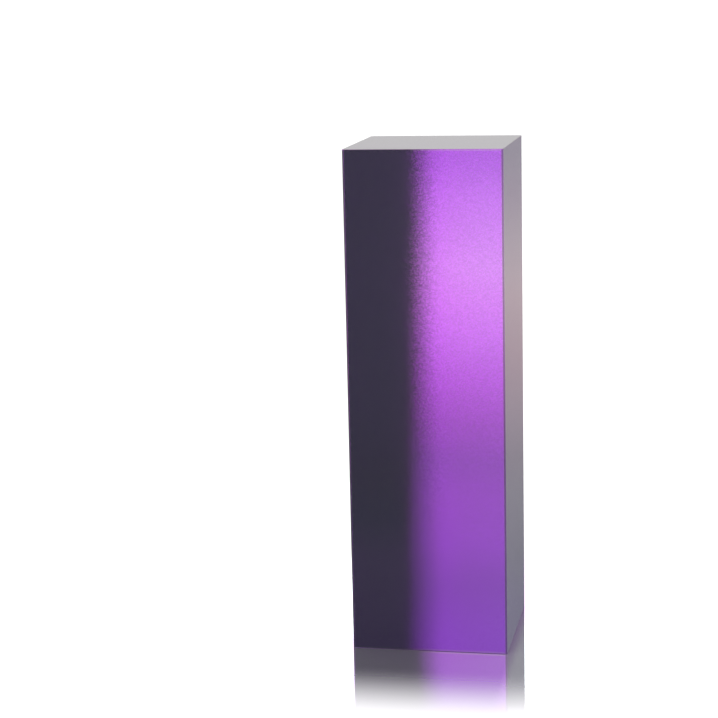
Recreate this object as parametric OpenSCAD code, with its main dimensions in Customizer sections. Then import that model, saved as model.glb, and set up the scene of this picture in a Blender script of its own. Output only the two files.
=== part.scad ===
// Square column award: an anodised aluminium sleeve with a mitred top plate, clamped on a tie rod
// that runs through a timber core and a steel ballast block to a nut under the base plate.
// Origin at the middle of the underside, +Z up, front face towards -Y. All sizes in millimetres.

/* [Column] */
// Outside width of the square section
column_w = 60; // [52:1:80]
// Height from the table to the top face
column_h = 193; // [130:1:300]
// Wall thickness of the sleeve
wall_t = 3; // [2.5:0.5:4]
// Chamfer along every outside edge but the foot's
edge_chamfer = 0.65; // [0.3:0.05:1]
// Chamfer around the foot, a mere deburring
foot_chamfer = 0.2; // [0.1:0.05:1]
// Thickness of the rim left around the rebate in the sleeve's bottom
rim_t = 1.5; // [1.2:0.1:2]

/* [Top plate and anchor] */
// Thickness of the top plate, mitre and spigot together
top_plate_t = 6; // [5:0.5:8]
// Diameter of the anchor flange under the top plate
flange_d = 34; // [30:1:40]
// Thickness of the anchor flange, and of the foam cushion around it
flange_t = 3; // [3:0.5:4]
// Diameter of the tapped boss under the flange
boss_d = 14; // [12:1:15]
// Length of the tapped boss
boss_l = 14; // [10:1:20]

/* [Base] */
// Thickness of the felt pad
pad_t = 3; // [2:0.5:4]
// Height of the pad below the sleeve's rim
pad_proud = 0.1; // [0.1:0.05:1]
// Thickness of the base plate's flange
base_flange_t = 3; // [2:0.5:5]
// Height of the base plate's spigot
base_spigot_h = 10; // [10:0.5:14]
// Height of the steel ballast block
ballast_h = 32; // [10:1:60]

/* [Hidden] */
$fn = 72;
over = 1;               // how far a cutting shape runs past what it cuts

// Clearances
mitre_gap = 0.04;       // across the bonded mitre, measured level
slide_gap = 0.15;       // each side of a plate that slides into the sleeve
core_gap = 0.3;         // each side of the core, cushion and ballast
pad_gap = 0.3;          // each side of the felt pad
cushion_gap = 2;        // between the foam cushion and the anchor flange
thread_gap = 0.05;      // radial, between a male thread's crests and the hole it turns in

// Sleeve
inner_w = column_w - 2 * wall_t;
rebate_w = column_w - 2 * rim_t;
core_w = inner_w - 2 * core_gap;

// M6 rod, nuts and washers
rod_r = 3;
rod_core_r = 2.39;      // at the thread's root
rod_pitch = 1;
rod_thread_l = 24;      // threaded length at each end
rod_past_nut = 1.2;
rod_end_gap = 2;        // free thread in the boss beyond the rod's end
nut_af = 10;            // across flats
nut_t = 5;
lock_nut_t = 3.2;
nut_chamfer = 0.55;
washer_d = 12;
washer_hole_d = 6.4;
washer_t = 1.6;
spring_d = 11.8;
spring_hole_d = 6.1;
spring_t = 1.6;
spring_slot = 1.2;
spring_slant = 35;
socket_d = 18;          // recess that takes a nut and the socket that turns it
rod_hole_d = 6.6;       // clearance hole in the base plate
rod_bore_d = 8;         // bore through the core and the ballast
web_t = 3;              // web of the base plate that the nut pulls on

// M3 countersunk screws
screw_r = 1.5;
screw_l = 6;
screw_head_r = 3;
screw_head_h = 1.7;
screw_socket_af = 2;
screw_socket_h = 1.2;
screw_circle_r = 12;
screw_sunk = 0.1;       // head below the flange's face
screw_hole_r = 1.7;
screw_end_gap = 0.5;    // free thread beyond the screw's end

// Small details
ballast_chamfer = 1;
pad_corner_r = 1.5;
pocket_gap = 1;         // free height in the core under the lock nut
rod_below_plate = 4;    // from the rod's upper end to the top plate

// Heights, from the table up
sleeve_z = pad_proud;
base_z = pad_t;
rebate_z = base_z + base_flange_t;
base_top_z = rebate_z + base_spigot_h;
web_z = base_top_z - web_t;
spring_z = web_z - washer_t - spring_t;
nut_z = spring_z - nut_t;
rod_z = nut_z - rod_past_nut;
core_z = base_top_z + ballast_h;
mitre_z = column_h - wall_t;
plate_z = column_h - top_plate_t;
flange_z = plate_z - flange_t;
boss_z = flange_z - boss_l;
lock_nut_z = boss_z - lock_nut_t;
pocket_z = lock_nut_z - pocket_gap;
rod_top_z = plate_z - rod_below_plate;
screw_z = flange_z + screw_sunk;

// Square profile from -half to half, with level ends at low and high, its two low corners cut at
// 45 degrees by low_cut and its two high ones by cut
module cut_profile(half, low, high, low_cut, cut)
    polygon([[-half + low_cut, low], [half - low_cut, low], [half, low + low_cut], [half, high - cut],
             [half - cut, high], [-half + cut, high], [-half, high - cut], [-half, low + low_cut]]);

// Upright profile swept through the whole width, along Y or, turned, along X
module sweep_level(turn, width)
    rotate([90, 0, turn]) translate([0, 0, -width / 2]) linear_extrude(width) children();

// Upright square block between two heights, its four lowest edges cut at 45 degrees by low_cut and
// the other eight by cut
module cut_block(width, low, high, low_cut, cut)
    intersection() {
        translate([0, 0, low]) linear_extrude(high - low)
            cut_profile(width / 2, -width / 2, width / 2, cut, cut);
        for (turn = [0, 90]) sweep_level(turn, width + 2 * over)
            cut_profile(width / 2, low, high, low_cut, cut);
    }

// Square block with four sides that lean out at 45 degrees from low_half at the low end
module flared_block(low_half, low, high) {
    high_half = low_half + high - low;
    intersection_for (turn = [0, 90])
        sweep_level(turn, 2 * high_half + 2 * over)
            polygon([[-low_half, low], [low_half, low], [high_half, high], [-high_half, high]]);
}

// Upright square bar centred on the axis
module bar(width, low, high)
    translate([-width / 2, -width / 2, low]) cube([width, width, high - low]);

// Upright round bar on the axis
module post(diameter, low, high)
    translate([0, 0, low]) cylinder(d = diameter, h = high - low);

// Places its children at the four anchor screws
module at_screws()
    for (turn = [45:90:315]) rotate(turn) translate([screw_circle_r, 0, 0]) children();

// Hexagon nut with both ends chamfered and a plain bore at the thread's major diameter
module hex_nut(low, thick) {
    corner_r = nut_af / 2 / cos(30);
    flat_r = corner_r - nut_chamfer * 1.6;
    difference() {
        intersection() {
            translate([0, 0, low]) cylinder(r = corner_r, h = thick, $fn = 6);
            translate([0, 0, low]) rotate_extrude()
                polygon([[0, 0], [flat_r, 0], [corner_r, nut_chamfer], [corner_r, thick - nut_chamfer],
                         [flat_r, thick], [0, thick]]);
        }
        post(2 * (rod_r + thread_gap), low - over, low + thick + over);
    }
}

// Outline of one thread, as ridges one pitch apart, from z = start upwards
function ridges(start, count) =
    [for (i = [0:count - 1], p = [[rod_r, 0.5], [rod_core_r, 1]]) [p[0], start + (i + p[1]) * rod_pitch]];

// Square tube with a mitred mouth at the top and a rebate for the base plate at the bottom
module column_sleeve() color("rebeccapurple")
    difference() {
        cut_block(column_w, sleeve_z, column_h, foot_chamfer, edge_chamfer);
        bar(inner_w, sleeve_z - over, column_h + over);
        bar(rebate_w, sleeve_z - over, rebate_z);
        flared_block(inner_w / 2, mitre_z, column_h + over);
    }

// Plate with a mitred edge, a spigot below it and four blind tapped holes
module top_plate() color("mediumpurple")
    difference() {
        intersection() {
            cut_block(column_w, sleeve_z, column_h, foot_chamfer, edge_chamfer);
            union() {
                flared_block(inner_w / 2 - mitre_gap, mitre_z, column_h + over);
                bar(inner_w - 2 * slide_gap, plate_z, mitre_z);
            }
        }
        at_screws() post(2 * (screw_r + thread_gap), plate_z - over, screw_z + screw_l + screw_end_gap);
    }

// Flange with a tapped boss and four countersunk holes
module anchor_flange() color("lightsteelblue")
    difference() {
        union() {
            post(flange_d, flange_z, plate_z);
            post(boss_d, boss_z, flange_z);
        }
        post(2 * (rod_r + thread_gap), boss_z - over, rod_top_z + rod_end_gap);
        at_screws() {
            post(2 * screw_hole_r, flange_z - over, plate_z + over);
            translate([0, 0, flange_z]) cylinder(r1 = screw_head_r + screw_sunk, r2 = screw_r,
                                                 h = screw_head_h + 2 * screw_sunk);
        }
    }

// Four countersunk screws, heads down, with hexagon sockets
module anchor_screws() color("dimgray")
    at_screws() difference() {
        union() {
            translate([0, 0, screw_z]) cylinder(r1 = screw_head_r, r2 = screw_r, h = screw_head_h);
            post(2 * screw_r, screw_z + screw_head_h, screw_z + screw_l);
        }
        translate([0, 0, screw_z - over])
            cylinder(d = screw_socket_af / cos(30), h = screw_socket_h + over, $fn = 6);
    }

// Thin nut that locks the rod against the boss
module anchor_lock_nut() color("silver") hex_nut(lock_nut_z, lock_nut_t);

// Rod threaded at both ends, the threads drawn as ridges one pitch apart
module tie_rod() color("gainsboro") {
    count = rod_thread_l / rod_pitch;
    rotate_extrude() polygon(concat(
        [[0, rod_z], [rod_core_r, rod_z]], ridges(rod_z, count), [[rod_r, rod_z + rod_thread_l + rod_pitch]],
        [[rod_r, rod_top_z - rod_thread_l - rod_pitch], [rod_core_r, rod_top_z - rod_thread_l]],
        ridges(rod_top_z - rod_thread_l, count), [[0, rod_top_z]]));
}

// One of three equal plies that fill the sleeve, counted from the front, bored as one block
module core_ply(number) {
    ply_t = core_w / 3;
    difference() {
        translate([-core_w / 2, -core_w / 2 + number * ply_t, core_z])
            cube([core_w, ply_t, flange_z - core_z]);
        post(rod_bore_d, core_z - over, flange_z);
        post(socket_d, pocket_z, flange_z + over);
    }
}

module core_front_ply() color("burlywood") core_ply(0);
module core_middle_ply() color("tan") core_ply(1);
module core_back_ply() color("burlywood") core_ply(2);

// Foam sheet around the anchor flange, between the core and the top plate
module core_cushion() color("slategray")
    difference() {
        bar(core_w, flange_z, plate_z);
        post(flange_d + 2 * cushion_gap, flange_z - over, plate_z + over);
    }

// Steel block on the base plate, bored for the rod
module ballast_block() color("darkslategray")
    difference() {
        cut_block(core_w, base_top_z, core_z, ballast_chamfer, ballast_chamfer);
        post(rod_bore_d, base_top_z - over, core_z + over);
    }

// Stepped plate: its flange bears in the sleeve's rebate, its spigot slides into the bore
module base_plate() color("lightgray")
    difference() {
        union() {
            bar(rebate_w - 2 * slide_gap, base_z, rebate_z);
            bar(inner_w - 2 * slide_gap, rebate_z, base_top_z);
        }
        post(rod_hole_d, base_z, base_top_z + over);
        post(socket_d, base_z - over, web_z);
    }

// Plain ring
module ring(outer_d, hole_d, low, thick)
    difference() {
        post(outer_d, low, low + thick);
        post(hole_d, low - over, low + thick + over);
    }

module flat_washer() color("silver") ring(washer_d, washer_hole_d, web_z - washer_t, washer_t);

// Closed-up spring washer with its slanted split at the back
module spring_washer() color("darkgray")
    difference() {
        ring(spring_d, spring_hole_d, spring_z, spring_t);
        translate([0, spring_d / 2, spring_z + spring_t / 2]) rotate([0, spring_slant, 0])
            cube([spring_slot, spring_d, 4 * spring_t], center = true);
    }

module clamp_nut() color("silver") hex_nut(nut_z, nut_t);

// Felt pad with rounded corners that fills the rebate below the base plate
module base_pad() color("black") {
    pad_w = rebate_w - 2 * pad_gap;
    straight_w = pad_w - 2 * pad_corner_r;
    linear_extrude(pad_t) {
        square([straight_w, pad_w], center = true);
        square([pad_w, straight_w], center = true);
        for (x = [-1, 1], y = [-1, 1]) translate([x, y] * straight_w / 2) circle(pad_corner_r);
    }
}

column_sleeve();
top_plate();
anchor_flange();
anchor_screws();
anchor_lock_nut();
tie_rod();
core_front_ply();
core_middle_ply();
core_back_ply();
core_cushion();
ballast_block();
base_plate();
flat_washer();
spring_washer();
clamp_nut();
base_pad();
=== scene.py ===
import math

import bmesh
import bpy
from mathutils import Matrix, Vector, noise


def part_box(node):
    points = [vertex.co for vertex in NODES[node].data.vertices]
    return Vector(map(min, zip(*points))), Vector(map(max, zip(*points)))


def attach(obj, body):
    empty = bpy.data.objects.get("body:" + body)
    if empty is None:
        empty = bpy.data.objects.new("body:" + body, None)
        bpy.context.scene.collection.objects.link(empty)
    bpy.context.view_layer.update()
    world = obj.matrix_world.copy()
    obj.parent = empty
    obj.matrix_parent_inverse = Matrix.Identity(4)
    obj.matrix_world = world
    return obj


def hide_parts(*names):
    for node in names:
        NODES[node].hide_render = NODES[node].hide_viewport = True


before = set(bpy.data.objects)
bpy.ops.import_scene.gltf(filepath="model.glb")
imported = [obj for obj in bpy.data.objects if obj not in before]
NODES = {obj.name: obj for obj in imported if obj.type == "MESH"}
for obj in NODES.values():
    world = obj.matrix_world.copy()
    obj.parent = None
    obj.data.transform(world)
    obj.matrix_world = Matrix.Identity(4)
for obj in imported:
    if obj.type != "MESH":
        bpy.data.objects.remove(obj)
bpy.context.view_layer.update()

MM = 0.001
SLEEVE_LOW, SLEEVE_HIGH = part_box("column_sleeve")
HEIGHT = SLEEVE_HIGH.z - SLEEVE_LOW.z
MIDDLE = (SLEEVE_LOW.z + SLEEVE_HIGH.z) / 2
HALF = SLEEVE_HIGH.x  # half the column's width
CHAMFER = 0.65 * MM


# ---------------------------------------------------------------- node helpers


def node(tree, kind, inputs=None, **settings):
    """Adds a shader node. A socket given as an input is linked, and a value is set."""
    made = tree.nodes.new(kind)
    for key, value in settings.items():
        setattr(made, key, value)
    for key, value in (inputs or {}).items():
        if isinstance(value, bpy.types.NodeSocket):
            tree.links.new(value, made.inputs[key])
        else:
            made.inputs[key].default_value = value
    return made


def calc(tree, operation, a, b=0.0, c=0.0):
    """One step of arithmetic on numbers or sockets."""
    return node(tree, "ShaderNodeMath", {0: a, 1: b, 2: c}, operation=operation).outputs[0]


def smooth(tree, value, low, high, to_low=0.0, to_high=1.0):
    """Eases from to_low to to_high as value goes from low to high."""
    made = node(tree, "ShaderNodeMapRange", {"Value": value, "From Min": low, "From Max": high,
                                             "To Min": to_low, "To Max": to_high},
                interpolation_type="SMOOTHSTEP")
    return made.outputs["Result"]


def share(tree, value, low, high):
    """From 0 at low to 1 at high, straight and held at its ends."""
    made = node(tree, "ShaderNodeMapRange", {"Value": value, "From Min": low, "From Max": high})
    return made.outputs["Result"]


def split(tree, place):
    """X, Y and Z of a place."""
    return node(tree, "ShaderNodeSeparateXYZ", {0: place}).outputs


def join(tree, x=0.0, y=0.0, z=0.0):
    """The place at X, Y and Z."""
    return node(tree, "ShaderNodeCombineXYZ", {0: x, 1: y, 2: z}).outputs[0]


def span(tree, x, y):
    """Distance from the Z axis."""
    return node(tree, "ShaderNodeVectorMath", {0: join(tree, x, y)}, operation="LENGTH").outputs["Value"]


def grain(tree, place, scale, detail=2.0, roughness=0.5, stretch=(1, 1, 1), turn=(0, 0, 0)):
    """Noise from 0 to 1 around 0.5, at scale features per metre, shorter along axes with more stretch."""
    turn = [math.radians(angle) for angle in turn]
    spot = node(tree, "ShaderNodeMapping", {"Vector": place, "Rotation": turn}).outputs["Vector"]
    spot = node(tree, "ShaderNodeMapping", {"Vector": spot, "Scale": stretch}).outputs["Vector"]
    made = node(tree, "ShaderNodeTexNoise", {"Vector": spot, "Scale": scale, "Detail": detail,
                                            "Roughness": roughness})
    return made.outputs["Fac"]


def mix_colour(tree, factor, a, b, blend="MIX"):
    """Colour a blended with colour b by factor."""
    made = node(tree, "ShaderNodeMix", data_type="RGBA", blend_type=blend)
    for socket, given in ((made.inputs[0], factor), (made.inputs[6], a), (made.inputs[7], b)):
        if isinstance(given, bpy.types.NodeSocket):
            tree.links.new(given, socket)
        else:
            socket.default_value = given if isinstance(given, float) else (*given, 1.0)
    return made.outputs[2]


def ramp(tree, factor, stops):
    """Colour ramp through (place, colour) stops."""
    made = node(tree, "ShaderNodeValToRGB", {"Fac": factor})
    bar = made.color_ramp
    bar.elements[0].position, bar.elements[1].position = stops[0][0], stops[-1][0]
    bar.elements[0].color, bar.elements[1].color = (*stops[0][1], 1), (*stops[-1][1], 1)
    for place, colour in stops[1:-1]:
        bar.elements.new(place).color = (*colour, 1)
    return made.outputs["Color"]


def start_material(name):
    """A material with one Principled shader: (material, tree, shader, object coordinates)."""
    material = bpy.data.materials.new(name)
    material.use_nodes = True
    tree = material.node_tree
    shader = tree.nodes["Principled BSDF"]
    place = node(tree, "ShaderNodeTexCoord").outputs["Object"]
    return material, tree, shader, place


def wire(tree, shader, **sockets):
    """Sets or links the shader's sockets, named with _ for a space."""
    for key, given in sockets.items():
        socket = shader.inputs[key.replace("_", " ")]
        if isinstance(given, bpy.types.NodeSocket):
            tree.links.new(given, socket)
        else:
            socket.default_value = given if isinstance(given, (int, float)) else (*given, 1.0)


def times(tree, colour, factor):
    """Colour made lighter or darker by a number."""
    return mix_colour(tree, 1.0, colour, join(tree, factor, factor, factor), "MULTIPLY")


def bump(tree, height, distance, under=None):
    """Relief as deep as distance in metres, over another normal if one is given."""
    inputs = {"Height": height, "Distance": distance}
    if under is not None:
        inputs["Normal"] = under
    return node(tree, "ShaderNodeBump", inputs).outputs["Normal"]


def facets(tree, place, scale, amount, under):
    """Normal tipped at random by up to about amount in every dimple, and a random number in each."""
    softness = 0.35  # how far neighbouring dimples run into each other
    cells = node(tree, "ShaderNodeTexVoronoi", {"Vector": place, "Scale": scale, "Smoothness": softness},
                 feature="SMOOTH_F1")
    tip = node(tree, "ShaderNodeVectorMath", {0: cells.outputs["Color"], 1: (0.5, 0.5, 0.5)},
               operation="SUBTRACT").outputs[0]
    reach = calc(tree, "MULTIPLY", amount, 2.0)
    tipped = node(tree, "ShaderNodeVectorMath", {0: tip, 1: join(tree, reach, reach, reach), 2: under},
                  operation="MULTIPLY_ADD").outputs[0]
    number = node(tree, "ShaderNodeSeparateColor", {0: cells.outputs["Color"]}).outputs[0]
    return node(tree, "ShaderNodeVectorMath", {0: tipped}, operation="NORMALIZE").outputs[0], number


def rounded(tree, radius):
    """Normal that turns smoothly over every edge, as on a broken or tumbled edge."""
    return node(tree, "ShaderNodeBevel", {"Radius": radius}, samples=6).outputs["Normal"]


# ---------------------------------------------------------------- camera

# How the photograph was taken, with the sleeve's height as the unit of length.
YAW, PITCH, ROLL = (math.radians(a) for a in (11.34, 11.04, -1.29))
DISTANCE, SHIFT_RIGHT, SHIFT_UP = 3.977, -0.16, 0.062
LENS_MM, SENSOR_MM = 98.47, 36.0


def make_camera():
    """Camera at the photograph's viewing angle."""
    data = bpy.data.cameras.new("camera")
    data.lens, data.sensor_width = LENS_MM, SENSOR_MM
    data.clip_start, data.clip_end = 0.01, 50
    forward = Vector((-math.sin(YAW) * math.cos(PITCH), math.cos(YAW) * math.cos(PITCH), -math.sin(PITCH)))
    level = Vector((math.cos(YAW), math.sin(YAW), 0))
    upright = level.cross(forward)
    right = math.cos(ROLL) * level + math.sin(ROLL) * upright
    up = math.cos(ROLL) * upright - math.sin(ROLL) * level
    place = Vector((0, 0, MIDDLE)) + HEIGHT * (SHIFT_RIGHT * right + SHIFT_UP * up - DISTANCE * forward)
    camera = bpy.data.objects.new("camera", data)
    bpy.context.scene.collection.objects.link(camera)
    turn = Matrix((right, up, -forward)).transposed()
    camera.matrix_world = Matrix.Translation(place) @ turn.to_4x4()
    bpy.context.scene.camera = camera


# ---------------------------------------------------------------- stage

WHITE = (1.0, 1.0, 1.0)
# How bright the room is: to the eye, in the polished floor, and its walls, ceiling and ground in blasted or
# brushed metal. The ground meets the walls, and the walls the ceiling, over these slopes of the view.
WHITE_LEVEL, MIRRORED_LEVEL = 1.2, 3.4
GROUND_LEVEL, WALL_LEVEL, CEILING_LEVEL = 0.3, 0.53, 1.1
WALL_TINT, CEILING_TINT = (0.98, 1.0, 0.93), (0.85, 1.0, 0.62)
WALL_FOOT, WALL_HEAD = (-0.12, 0.04), (0.4, 0.95)

FLOOR_COLOUR, FLOOR_REACH = (0.93, 0.93, 0.93), 4.8
MIRROR_TINT, MIRROR_TINT_BESIDE = (0.47, 0.375, 0.59), (0.72, 0.76, 0.78)
TINT_EASE = 5 * MM  # over which the first tint, in front of the column, turns into the one beside it
POLISH, POLISH_FROM, POLISH_TO = 0.93, 0.65 * HALF, 2.75 * HALF  # at its most, and where it fades out
HIDDEN_RIM = 1.8 * MM  # how far under the column's edge the floor still shows through the gap

# The cards' distances from the column's faces, their extent, and the part of it that the ramps grade.
CARD_DISTANCE, BACK_DISTANCE, BACK_HIGH = 0.3, 0.4, 0.2
CARD_LOW, CARD_HIGH, CARD_REACH = -0.4, 0.6, 0.5
RISE_LOW, RISE_HIGH, RUN_REACH = -0.15, 0.25, 0.2
SPLIT = -0.052  # where the front card turns from dark to bright
CRISP = (-0.06, 0.12, 0.58, 0.88)  # between two heights, how much of a ramp's sharpness a leaning card keeps
# Light by height on the cards, as (height in metres, share of the power).
BRIGHT_RISE = [
    (-0.10, (0.173, 0.19, 0.216)), (-0.07, (0.165, 0.19, 0.19)), (-0.045, (0.213, 0.214, 0.231)),
    (-0.022, (0.226, 0.225, 0.233)), (0.0, (0.207, 0.225, 0.208)), (0.022, (0.272, 0.257, 0.246)),
    (0.044, (0.37, 0.358, 0.321)), (0.066, (0.467, 0.564, 0.386)), (0.087, (0.523, 0.748, 0.403)),
    (0.104, (0.55, 0.92, 0.418)), (0.14, (0.452, 0.617, 0.395)), (0.16, (0.35, 0.4, 0.344)),
    (0.20, (0.28, 0.3, 0.28))]
DIM_RISE = [
    (-0.13, (0.069, 0.069, 0.087)), (-0.10, (0.072, 0.074, 0.082)), (-0.06, (0.087, 0.088, 0.091)),
    (-0.036, (0.096, 0.09, 0.094)), (-0.011, (0.12, 0.106, 0.108)), (0.027, (0.156, 0.127, 0.124)),
    (0.064, (0.187, 0.159, 0.148)), (0.076, (0.185, 0.164, 0.153)), (0.10, (0.165, 0.152, 0.146)),
    (0.125, (0.138, 0.127, 0.132)), (0.15, (0.119, 0.116, 0.12)), (0.20, (0.12, 0.12, 0.12))]
# The least light by height, whatever the power.
PLAIN_DARK = [(-0.1, (0.02, 0.02, 0.022)), (0.2, (0.02, 0.02, 0.022))]
FRONT_DARK = [
    (-0.055, (0.026, 0.046, 0.037)), (-0.034, (0.01, 0.024, 0.025)), (-0.01, (0.0095, 0.012, 0.021)),
    (0.015, (0.0135, 0.018, 0.0265)), (0.038, (0.0175, 0.023, 0.031)), (0.13, (0.02, 0.026, 0.033))]


def make_mesh(name, vertices, faces, material):
    """Object of plain faces in one material."""
    mesh = bpy.data.meshes.new(name)
    mesh.from_pydata(vertices, [], faces)
    mesh.materials.append(material)
    made = bpy.data.objects.new(name, mesh)
    bpy.context.scene.collection.objects.link(made)
    return made


def make_world():
    """White room to the eye, brighter in the polished floor, and grey and tinted in blurred reflections."""
    world = bpy.data.worlds.new("studio")
    bpy.context.scene.world = world
    world.use_nodes = True
    tree = world.node_tree
    tree.nodes.clear()
    way = node(tree, "ShaderNodeTexCoord").outputs["Generated"]
    height = split(tree, way)["Z"]
    level = calc(tree, "ADD", smooth(tree, height, *WALL_FOOT, GROUND_LEVEL, WALL_LEVEL),
                 smooth(tree, height, *WALL_HEAD, 0.0, CEILING_LEVEL - WALL_LEVEL))
    rays = node(tree, "ShaderNodeLightPath").outputs
    blurred = calc(tree, "GREATER_THAN", rays["Is Glossy Ray"], rays["Is Singular Ray"])
    strength = calc(tree, "MULTIPLY", blurred, calc(tree, "SUBTRACT", level, WHITE_LEVEL))
    strength = calc(tree, "ADD", strength, WHITE_LEVEL)
    strength = calc(tree, "MULTIPLY_ADD", rays["Is Singular Ray"], MIRRORED_LEVEL - WHITE_LEVEL, strength)
    tint = ramp(tree, smooth(tree, height, *WALL_HEAD), [(0.0, WALL_TINT), (1.0, CEILING_TINT)])
    tint = mix_colour(tree, blurred, WHITE, tint)
    sky = node(tree, "ShaderNodeBackground", {"Color": tint, "Strength": strength})
    node(tree, "ShaderNodeOutputWorld", {"Surface": sky.outputs[0]})


def make_floor():
    """Plain white floor, polished around the column, open under its pad, unseen from below and by metal."""
    material, tree, shader, place = start_material("pale_floor")
    aside = [calc(tree, "ABSOLUTE", axis) for axis in split(tree, place)[:2]]
    away = span(tree, *(calc(tree, "MAXIMUM", calc(tree, "SUBTRACT", axis, HALF), 0.0) for axis in aside))
    wire(tree, shader, Base_Color=FLOOR_COLOUR, Roughness=0.6, Specular_IOR_Level=0.0)
    beside = smooth(tree, aside[0], HALF, HALF + TINT_EASE)
    tint = mix_colour(tree, beside, MIRROR_TINT, MIRROR_TINT_BESIDE)
    mirror = node(tree, "ShaderNodeBsdfAnisotropic", {"Color": tint, "Roughness": 0.0})
    polish = smooth(tree, away, POLISH_FROM, POLISH_TO, POLISH, 0.0)
    top = node(tree, "ShaderNodeMixShader", {0: polish, 1: shader.outputs[0], 2: mirror.outputs[0]})
    clear = node(tree, "ShaderNodeBsdfTransparent").outputs[0]
    behind = node(tree, "ShaderNodeNewGeometry").outputs["Backfacing"]
    under = [calc(tree, "LESS_THAN", axis, HALF - HIDDEN_RIM) for axis in aside]
    open_floor = calc(tree, "MAXIMUM", behind, calc(tree, "MULTIPLY", *under))
    both = node(tree, "ShaderNodeMixShader", {0: open_floor, 1: top.outputs[0], 2: clear})
    tree.links.new(both.outputs[0], tree.nodes["Material Output"].inputs["Surface"])
    corners = [(x * FLOOR_REACH, y * FLOOR_REACH, 0) for x, y in ((-1, -1), (1, -1), (1, 1), (-1, 1))]
    floor = make_mesh("floor", corners, [(0, 1, 2, 3)], material)
    floor.visible_glossy = False


def card_light(name, power, rise, run, dark, lean):
    """Light graded by height through rise and across through run, never below dark, also graded by height.
    The edges across lean by lean, and soften downwards if they lean."""
    material = bpy.data.materials.new(name)
    material.use_nodes = True
    tree = material.node_tree
    tree.nodes.clear()
    axes = split(tree, node(tree, "ShaderNodeTexCoord").outputs["Object"])
    height = share(tree, axes["Y"], RISE_LOW, RISE_HIGH)
    across = calc(tree, "SUBTRACT", axes["X"], calc(tree, "MULTIPLY", axes["Y"], lean))
    if lean:
        crisp = smooth(tree, axes["Y"], *CRISP)
        across = calc(tree, "MULTIPLY_ADD", calc(tree, "SUBTRACT", across, SPLIT), crisp, SPLIT)
    across = share(tree, across, -RUN_REACH, RUN_REACH)
    rise, dark = ([((z - RISE_LOW) / (RISE_HIGH - RISE_LOW), colour) for z, colour in stops]
                  for stops in (rise, dark))
    run = [((x + RUN_REACH) / (2 * RUN_REACH), part if isinstance(part, tuple) else (part,) * 3)
           for x, part in run]
    light = mix_colour(tree, 1.0, ramp(tree, height, rise), ramp(tree, across, run), "MULTIPLY")
    light = mix_colour(tree, 1.0, light, (power,) * 3, "MULTIPLY")
    light = mix_colour(tree, 1.0, light, ramp(tree, height, dark), "LIGHTEN")
    glow = node(tree, "ShaderNodeEmission", {"Color": light, "Strength": 1.0}).outputs[0]
    clear = node(tree, "ShaderNodeBsdfTransparent").outputs[0]
    sharp = node(tree, "ShaderNodeLightPath").outputs["Is Singular Ray"]
    both = node(tree, "ShaderNodeMixShader", {0: sharp, 1: glow, 2: clear})
    node(tree, "ShaderNodeOutputMaterial", {"Surface": both.outputs[0]})
    return material


def make_card(name, turn, distance, power, rise, run, dark=PLAIN_DARK, lean=0.0, high=CARD_HIGH):
    """Upright card that faces the column from one side, seen only in the metal. Turn 0 is the front.
    Each run is (place across the card in metres, share of the light)."""
    corners = [(-CARD_REACH, CARD_LOW, 0), (CARD_REACH, CARD_LOW, 0), (CARD_REACH, high, 0),
               (-CARD_REACH, high, 0)]
    card = make_mesh(name, corners, [(0, 1, 2, 3)], card_light(name + "_light", power, rise, run, dark, lean))
    stand = Matrix.Translation((0, -HALF - distance, 0)) @ Matrix.Rotation(math.pi / 2, 4, "X")
    card.matrix_world = Matrix.Rotation(math.radians(turn), 4, "Z") @ stand
    card.visible_camera = card.visible_diffuse = card.visible_shadow = card.visible_transmission = False


def make_area(name, place, size, power):
    """Round lamp aimed at the column, unseen in the metal."""
    data = bpy.data.lights.new(name, "AREA")
    data.shape, data.size, data.energy = "DISK", size, power
    lamp = bpy.data.objects.new(name, data)
    bpy.context.scene.collection.objects.link(lamp)
    lamp.location = place
    aim = Vector((0, 0, HEIGHT / 2)) - Vector(place)
    lamp.rotation_mode = "QUATERNION"
    lamp.rotation_quaternion = aim.to_track_quat("-Z", "Y")
    lamp.visible_glossy = False


def make_stage():
    """The room, the floor, a card on each side, bright in front and on the right, and one lamp."""
    make_world()
    make_floor()
    make_card("front_card", 0, CARD_DISTANCE, 2.4, BRIGHT_RISE,
              [(-0.14, (0.5, 0.36, 0.5)), (-0.115, 0.0), (-0.0575, 0.0), (-0.0455, (1.02, 0.76, 1.05)),
               (-0.038, (1.0, 0.87, 1.0)), (-0.022, 1.0)], FRONT_DARK, lean=0.0165)
    make_card("right_card", 90, CARD_DISTANCE, 2.4, BRIGHT_RISE,
              [(-0.13, 0.6), (-0.11, 0.4), (-0.05, 0.4), (-0.04, 1.0)])
    make_card("left_card", 270, CARD_DISTANCE, 6.0, DIM_RISE,
              [(-0.13, 0.5), (-0.1, 0.05), (-0.015, 0.05), (0.0, 1.0)])
    make_card("back_card", 180, BACK_DISTANCE, 7.5, DIM_RISE,
              [(-0.055, 0.333), (-0.04, 0.9), (0.0, 0.9), (0.015, 0.0), (0.1, 0.0), (0.13, 0.5)],
              high=BACK_HIGH)
    make_area("overhead_light", (-0.3, -0.5, 1.2), size=0.8, power=6)
    bpy.context.scene.view_settings.view_transform = "Standard"


# ---------------------------------------------------------------- materials

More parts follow.
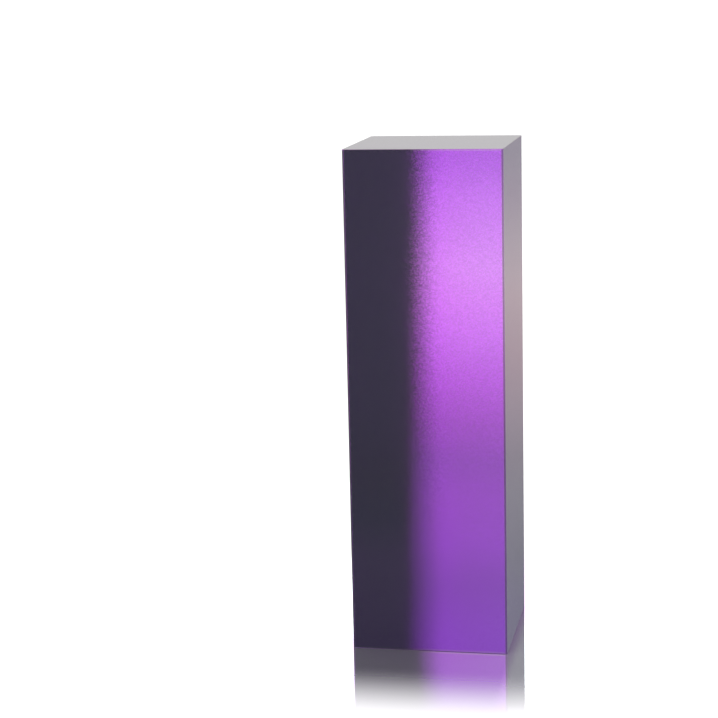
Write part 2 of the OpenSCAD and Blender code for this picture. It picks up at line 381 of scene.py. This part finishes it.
def edge_nearness(tree, place):
    """In metres: 0 on a sharp edge of the column's box, minus the chamfer on its chamfers, less elsewhere."""
    x, y, z = split(tree, place)
    gaps = [calc(tree, "SUBTRACT", calc(tree, "ABSOLUTE", axis), half)
            for axis, half in ((x, HALF), (y, HALF), (calc(tree, "SUBTRACT", z, MIDDLE), HEIGHT / 2))]
    least = calc(tree, "MINIMUM", calc(tree, "MINIMUM", gaps[0], gaps[1]), gaps[2])
    total = calc(tree, "ADD", calc(tree, "ADD", gaps[0], gaps[1]), gaps[2])
    return calc(tree, "SUBTRACT", total, least)


ANODISE = (0.50, 0.067, 0.93)
THIN_ANODISE = (0.62, 0.30, 0.72)
ALUMINIUM = (0.90, 0.905, 0.91)
# The blasted dimples: how many in a metre, how many times finer the second set is, how far they tip the
# normal, and how far the two sets' shades go.
DIMPLES, FINER, DIMPLE_TIP, COARSE_SHADE, FINE_SHADE = 2200, 3.1, 0.0024, 0.24, 0.1
BLAST_WEAKEST = 0.3  # of its force at the top, at the foot
CLOUD_DEPTH, BARE_ROUGHNESS, CLOUD_ROUGHNESS = 0.03, 0.055, 0.012


def purple_anodised():
    """Aluminium, bead-blasted hardest at the top, under a dyed oxide that shines white at low angles."""
    material, tree, shader, place = start_material("purple_anodised")
    force = smooth(tree, split(tree, place)[2], 0.1 * HEIGHT, 0.75 * HEIGHT, BLAST_WEAKEST, 1.0)
    tip = calc(tree, "MULTIPLY", force, DIMPLE_TIP)
    relief, coarse = facets(tree, place, DIMPLES, tip, rounded(tree, 0.15 * MM))
    relief, fine = facets(tree, place, FINER * DIMPLES, tip, relief)
    cloud = smooth(tree, grain(tree, place, 25, detail=2.0), 0.3, 0.7)
    colour = mix_colour(tree, cloud, *(tuple(c * depth for c in ANODISE)
                                       for depth in (1.0 - CLOUD_DEPTH, 1.0 + CLOUD_DEPTH)))
    shade = calc(tree, "MULTIPLY_ADD", calc(tree, "SUBTRACT", coarse, 0.5), COARSE_SHADE,
                 calc(tree, "MULTIPLY", calc(tree, "SUBTRACT", fine, 0.5), FINE_SHADE))
    colour = times(tree, colour, calc(tree, "MULTIPLY_ADD", shade, force, 1.0))
    edge = smooth(tree, edge_nearness(tree, place), -1.25 * CHAMFER, -0.95 * CHAMFER)
    nicks = smooth(tree, grain(tree, place, 1600, detail=3.0, roughness=0.7), 0.62, 0.72)
    colour = mix_colour(tree, calc(tree, "MULTIPLY", edge, 0.4), colour, THIN_ANODISE)
    worn = calc(tree, "MULTIPLY", edge, nicks)
    colour = mix_colour(tree, calc(tree, "MULTIPLY", worn, 0.3), colour, ALUMINIUM)
    rough = calc(tree, "ADD", BARE_ROUGHNESS, calc(tree, "MULTIPLY", cloud, CLOUD_ROUGHNESS))
    wire(tree, shader, Base_Color=colour, Metallic=1.0, Roughness=rough, Normal=relief,
         Coat_Weight=1.0, Coat_IOR=1.65, Coat_Roughness=0.08, Coat_Normal=relief,
         Sheen_Weight=0.086, Sheen_Roughness=0.9, Sheen_Tint=(0.93, 1.0, 0.93))
    return material


def turned_steel():
    """Lathe-turned steel: fine rings around the axis, with traces of oil."""
    material, tree, shader, place = start_material("turned_steel")
    x, y, z = split(tree, place)
    rings = grain(tree, join(tree, span(tree, x, y), 0.0, z), 5000, detail=3.0, roughness=0.6)
    oil = smooth(tree, grain(tree, place, 130, detail=3.0), 0.55, 0.7)
    colour = mix_colour(tree, smooth(tree, rings, 0.35, 0.65), (0.47, 0.47, 0.48), (0.64, 0.64, 0.65))
    colour = mix_colour(tree, calc(tree, "MULTIPLY", oil, 0.4), colour, (0.33, 0.28, 0.21))
    rough = calc(tree, "ADD", smooth(tree, rings, 0.3, 0.7, 0.34, 0.22), calc(tree, "MULTIPLY", oil, -0.08))
    wire(tree, shader, Base_Color=colour, Metallic=1.0, Roughness=rough,
         Normal=bump(tree, rings, 1.5e-5, rounded(tree, 0.1 * MM)))
    return material


def zinc_steel():
    """Bright zinc plate: faint blue and straw tints, fine scratches along the axis."""
    material, tree, shader, place = start_material("zinc_steel")
    hue = grain(tree, place, 170, detail=3.0)
    scratch = grain(tree, place, 2600, detail=3.0, roughness=0.7, stretch=(1, 1, 0.12), turn=(4, 3, 0))
    colour = ramp(tree, hue, [(0.3, (0.60, 0.65, 0.72)), (0.5, (0.72, 0.73, 0.74)),
                              (0.7, (0.77, 0.74, 0.64))])
    colour = times(tree, colour, smooth(tree, scratch, 0.3, 0.7, 0.85, 1.08))
    dull = smooth(tree, grain(tree, place, 420, detail=4.0, roughness=0.65), 0.52, 0.68)
    rough = calc(tree, "ADD", 0.2, calc(tree, "MULTIPLY", dull, 0.2))
    wire(tree, shader, Base_Color=colour, Metallic=1.0, Roughness=rough,
         Normal=bump(tree, scratch, 6e-6, rounded(tree, 0.08 * MM)))
    return material


def black_screw_steel():
    """Black oxide over steel, brownish in places and rubbed bright in specks."""
    material, tree, shader, place = start_material("black_screw_steel")
    patch = grain(tree, place, 350, detail=4.0, roughness=0.6)
    rub = smooth(tree, grain(tree, place, 1900, detail=3.0, roughness=0.75), 0.6, 0.74)
    colour = ramp(tree, patch, [(0.35, (0.025, 0.026, 0.031)), (0.55, (0.045, 0.044, 0.046)),
                                (0.7, (0.075, 0.058, 0.046))])
    colour = mix_colour(tree, calc(tree, "MULTIPLY", rub, 0.5), colour, (0.3, 0.3, 0.31))
    rough = smooth(tree, patch, 0.3, 0.7, 0.32, 0.5)
    wire(tree, shader, Base_Color=colour, Metallic=1.0, Roughness=rough,
         Normal=bump(tree, patch, 1.2e-5, rounded(tree, 0.06 * MM)))
    return material


def mdf():
    """Fibreboard plies laid front to back: hard sanded faces, softer and paler fibres between them."""
    material, tree, shader, place = start_material("mdf")
    fibre = grain(tree, place, 1400, detail=5.0, roughness=0.7, stretch=(0.35, 1, 0.35))
    fleck = grain(tree, place, 2600, detail=2.0, stretch=(0.3, 1, 0.3), turn=(0, 35, 0))
    fleck = smooth(tree, fleck, 0.6, 0.7)
    near, far = (corner.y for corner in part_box("core_front_ply"))
    depth = calc(tree, "DIVIDE", calc(tree, "SUBTRACT", split(tree, place)[1], near), far - near)
    skin = calc(tree, "ABSOLUTE", calc(tree, "SUBTRACT", calc(tree, "FRACT", depth), 0.5))
    skin = smooth(tree, skin, 0.34, 0.48)
    colour = mix_colour(tree, smooth(tree, fibre, 0.3, 0.7), (0.36, 0.235, 0.13), (0.56, 0.42, 0.27))
    colour = mix_colour(tree, calc(tree, "MULTIPLY", skin, 0.55), colour, (0.30, 0.195, 0.11))
    colour = mix_colour(tree, calc(tree, "MULTIPLY", fleck, 0.5), colour, (0.17, 0.10, 0.055))
    relief = calc(tree, "MULTIPLY", fibre, calc(tree, "SUBTRACT", 1.15, skin))
    wire(tree, shader, Base_Color=colour, Roughness=smooth(tree, skin, 0.0, 1.0, 0.92, 0.7),
         Normal=bump(tree, relief, 1.2e-4, rounded(tree, 0.25 * MM)))
    return material


def mill_steel():
    """Sawn steel bar: blue-grey scale on the sides, saw marks across the ends, rust in the pits."""
    material, tree, shader, place = start_material("mill_steel")
    scale = grain(tree, place, 260, detail=5.0, roughness=0.65)
    pits = smooth(tree, grain(tree, place, 900, detail=4.0, roughness=0.7), 0.62, 0.7)
    saw = grain(tree, place, 2400, detail=2.0, stretch=(0.03, 1, 0.03), turn=(0, 0, 6))
    upright = calc(tree, "ABSOLUTE", split(tree, node(tree, "ShaderNodeNewGeometry").outputs["Normal"])[2])
    sawn = smooth(tree, upright, 0.5, 0.9)
    skin = ramp(tree, scale, [(0.3, (0.05, 0.055, 0.068)), (0.5, (0.11, 0.115, 0.125)),
                              (0.7, (0.19, 0.185, 0.18))])
    cut = mix_colour(tree, smooth(tree, saw, 0.3, 0.7), (0.38, 0.375, 0.37), (0.56, 0.555, 0.55))
    colour = mix_colour(tree, sawn, skin, cut)
    colour = mix_colour(tree, calc(tree, "MULTIPLY", pits, 0.5), colour, (0.16, 0.065, 0.025))
    height = calc(tree, "ADD", calc(tree, "MULTIPLY", saw, sawn), calc(tree, "MULTIPLY", scale, 0.8))
    wire(tree, shader, Base_Color=colour, Metallic=smooth(tree, pits, 0.0, 1.0, 1.0, 0.5),
         Roughness=smooth(tree, scale, 0.3, 0.7, 0.38, 0.6),
         Normal=bump(tree, height, 4e-5, rounded(tree, 0.2 * MM)))
    return material


CUTTER_RADIUS, CUTTER_FEED, CUTTER_TILT = 25 * MM, 0.4 * MM, 0.6


def milled_aluminium():
    """Bare aluminium with the arcs that a face mill leaves as it feeds along X."""
    material, tree, shader, place = start_material("milled_aluminium")
    x, y, z = split(tree, place)
    bow = calc(tree, "DIVIDE", calc(tree, "MULTIPLY", y, y), 2 * CUTTER_RADIUS)
    waver = calc(tree, "MULTIPLY", grain(tree, place, 90), CUTTER_FEED)
    along = calc(tree, "ADD", x, calc(tree, "MULTIPLY", z, CUTTER_TILT))
    along = calc(tree, "ADD", along, calc(tree, "ADD", bow, waver))
    ridge = calc(tree, "SINE", calc(tree, "MULTIPLY", along, 2 * math.pi / CUTTER_FEED))
    ridge = smooth(tree, ridge, -1.0, 1.0)
    dust = grain(tree, place, 800, detail=4.0, roughness=0.65)
    colour = mix_colour(tree, ridge, (0.78, 0.785, 0.80), (0.91, 0.915, 0.92))
    colour = times(tree, colour, smooth(tree, dust, 0.3, 0.7, 0.93, 1.03))
    wire(tree, shader, Base_Color=colour, Metallic=1.0, Roughness=smooth(tree, dust, 0.3, 0.7, 0.28, 0.34),
         Normal=bump(tree, ridge, 8e-6, rounded(tree, 0.12 * MM)))
    return material


def grey_foam():
    """Closed-cell foam sheet: small round cells with paler walls."""
    material, tree, shader, place = start_material("grey_foam")
    cells = node(tree, "ShaderNodeTexVoronoi", {"Vector": place, "Scale": 1500.0},
                 feature="DISTANCE_TO_EDGE")
    wall = smooth(tree, cells.outputs["Distance"], 0.0, 0.22, 1.0, 0.0)
    patch = grain(tree, place, 90, detail=3.0)
    colour = mix_colour(tree, wall, (0.10, 0.105, 0.115), (0.20, 0.205, 0.22))
    colour = times(tree, colour, smooth(tree, patch, 0.3, 0.7, 0.88, 1.12))
    wire(tree, shader, Base_Color=colour, Roughness=smooth(tree, wall, 0.0, 1.0, 0.95, 0.7),
         Normal=bump(tree, wall, 1.5e-4), Sheen_Weight=0.1, Sheen_Roughness=0.6)
    return material


def black_felt():
    """Pressed wool felt: matted fibres in three directions, with a soft pile."""
    material, tree, shader, place = start_material("black_felt")
    mats = [grain(tree, place, 2600, detail=3.0, roughness=0.65, stretch=(0.08, 1, 1), turn=(0, 0, angle))
            for angle in (12, 70, 128)]
    fibre = calc(tree, "MAXIMUM", calc(tree, "MAXIMUM", mats[0], mats[1]), mats[2])
    clump = grain(tree, place, 220, detail=4.0, roughness=0.6)
    colour = mix_colour(tree, smooth(tree, fibre, 0.45, 0.72), (0.013, 0.0125, 0.014), (0.05, 0.048, 0.052))
    colour = times(tree, colour, smooth(tree, clump, 0.3, 0.7, 0.75, 1.3))
    lint = grain(tree, place, 1300, detail=2.0, stretch=(0.1, 1, 1), turn=(0, 0, 40))
    lint = smooth(tree, lint, 0.7, 0.74)
    colour = mix_colour(tree, calc(tree, "MULTIPLY", lint, 0.35), colour, (0.22, 0.21, 0.22))
    height = calc(tree, "ADD", fibre, calc(tree, "MULTIPLY", clump, 0.7))
    wire(tree, shader, Base_Color=colour, Roughness=smooth(tree, fibre, 0.3, 0.7, 0.98, 0.82),
         Normal=bump(tree, height, 2.5e-4), Sheen_Weight=0.25, Sheen_Roughness=0.45,
         Sheen_Tint=(0.35, 0.34, 0.36), Specular_IOR_Level=0.2)
    return material


# ---------------------------------------------------------------- pieces

def dress(material, *names):
    """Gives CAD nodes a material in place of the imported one."""
    for name in names:
        for slot in NODES[name].material_slots:
            slot.material = material


def stand_for(piece, name, material):
    """Makes a piece take a CAD node's place."""
    piece.data.materials.append(material)
    piece.data.shade_smooth()
    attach(piece, "root")
    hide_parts(name)


def square_rim(angle, half, corner):
    """Where a ray at an angle leaves a square with round corners, and the way out of it there."""
    way = Vector((math.cos(angle), math.sin(angle)))
    spot = way * (half / max(abs(way.x), abs(way.y)))
    core = half - corner
    if min(abs(spot.x), abs(spot.y)) <= core:
        return spot, (Vector((math.copysign(1, way.x), 0)) if abs(way.x) >= abs(way.y)
                      else Vector((0, math.copysign(1, way.y))))
    centre = Vector((math.copysign(core, way.x), math.copysign(core, way.y)))
    along = way.dot(centre)
    spot = way * (along + math.sqrt(along * along - centre.length_squared + corner * corner))
    return spot, (spot - centre).normalized()


# How finely a slab is divided: round its outline, out from its middle or hole, and over its rounded edge.
SLAB_SIDES, SLAB_RINGS, SLAB_ARC = 240, 30, 4
WAVER_GRAIN, RELIEF_GRAIN = 300, 700  # waves in a metre of the outline, and of the underside


def soft_slab(name, half, corner, low, high, edge, hole, relief, waver):
    """Flat square of felt or foam: corner and edge are radii, hole is its hole's radius or 0, relief is how
    deep its underside's pits are, and waver how far its outline comes in."""
    mesh = bpy.data.meshes.new(name)
    shell = bmesh.new()
    rows = []
    for side in range(SLAB_SIDES):
        angle = 2 * math.pi * side / SLAB_SIDES
        rim, out = square_rim(angle, half, corner)
        rim = rim - out * waver * (0.5 + 0.5 * noise.noise(Vector((rim.x, rim.y, low)) * WAVER_GRAIN))
        flat = rim - out * edge
        start = Vector((math.cos(angle), math.sin(angle))) * hole
        face = [start.lerp(flat, ring / SLAB_RINGS) for ring in range(SLAB_RINGS + 1)]
        pits = [noise.fractal(Vector((spot.x, spot.y, low)) * RELIEF_GRAIN, 0.8, 2.0, 3) for spot in face]
        lift = [relief * (0.5 + 0.5 * pit) for pit in pits]
        arc = [math.pi / 2 * step / SLAB_ARC for step in range(1, SLAB_ARC + 1)]
        top = [(*spot, high) for spot in face]
        top += [(*(flat + out * edge * math.sin(a)), high - edge * (1 - math.cos(a))) for a in arc]
        under = [(*spot, low + rise) for spot, rise in zip(face, lift)]
        under += [(*(flat + out * edge * math.sin(a)),
                   low + lift[-1] * math.cos(a) + edge * (1 - math.cos(a))) for a in arc]
        rows.append([shell.verts.new(spot) for spot in top + under[::-1]])
    for here, there in zip(rows, rows[1:] + rows[:1]):
        for step in range(len(here) - 1):
            shell.faces.new((here[step], here[step + 1], there[step + 1], there[step]))
        shell.faces.new((here[-1], here[0], there[0], there[-1]))
    bmesh.ops.remove_doubles(shell, verts=shell.verts, dist=1e-7)
    bmesh.ops.recalc_face_normals(shell, faces=shell.faces)
    shell.to_mesh(mesh)
    shell.free()
    made = bpy.data.objects.new(name, mesh)
    bpy.context.scene.collection.objects.link(made)
    return made


def make_felt_pad():
    """Die-cut felt with softened edges and an uneven, napped underside."""
    low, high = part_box("base_pad")
    pad = soft_slab("felt_pad", high.x, corner=1.5 * MM, low=low.z, high=high.z, edge=0.5 * MM, hole=0.0,
                    relief=0.12 * MM, waver=0.12 * MM)
    stand_for(pad, "base_pad", black_felt())


def make_foam_cushion():
    """Foam sheet squeezed between the core and the top plate, so its edges are round."""
    low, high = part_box("core_cushion")
    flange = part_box("anchor_flange")[1].x
    cushion = soft_slab("foam_cushion", high.x, corner=0.8 * MM, low=low.z, high=high.z, edge=1.2 * MM,
                        hole=flange + 2 * MM, relief=0.08 * MM, waver=0.2 * MM)
    stand_for(cushion, "core_cushion", grey_foam())


make_camera()
make_stage()
dress(purple_anodised(), "column_sleeve", "top_plate")
dress(turned_steel(), "anchor_flange")
dress(zinc_steel(), "anchor_lock_nut", "tie_rod", "flat_washer", "clamp_nut")
dress(black_screw_steel(), "anchor_screws", "spring_washer")
dress(mdf(), "core_front_ply", "core_middle_ply", "core_back_ply")
dress(mill_steel(), "ballast_block")
dress(milled_aluminium(), "base_plate")
make_felt_pad()
make_foam_cushion()
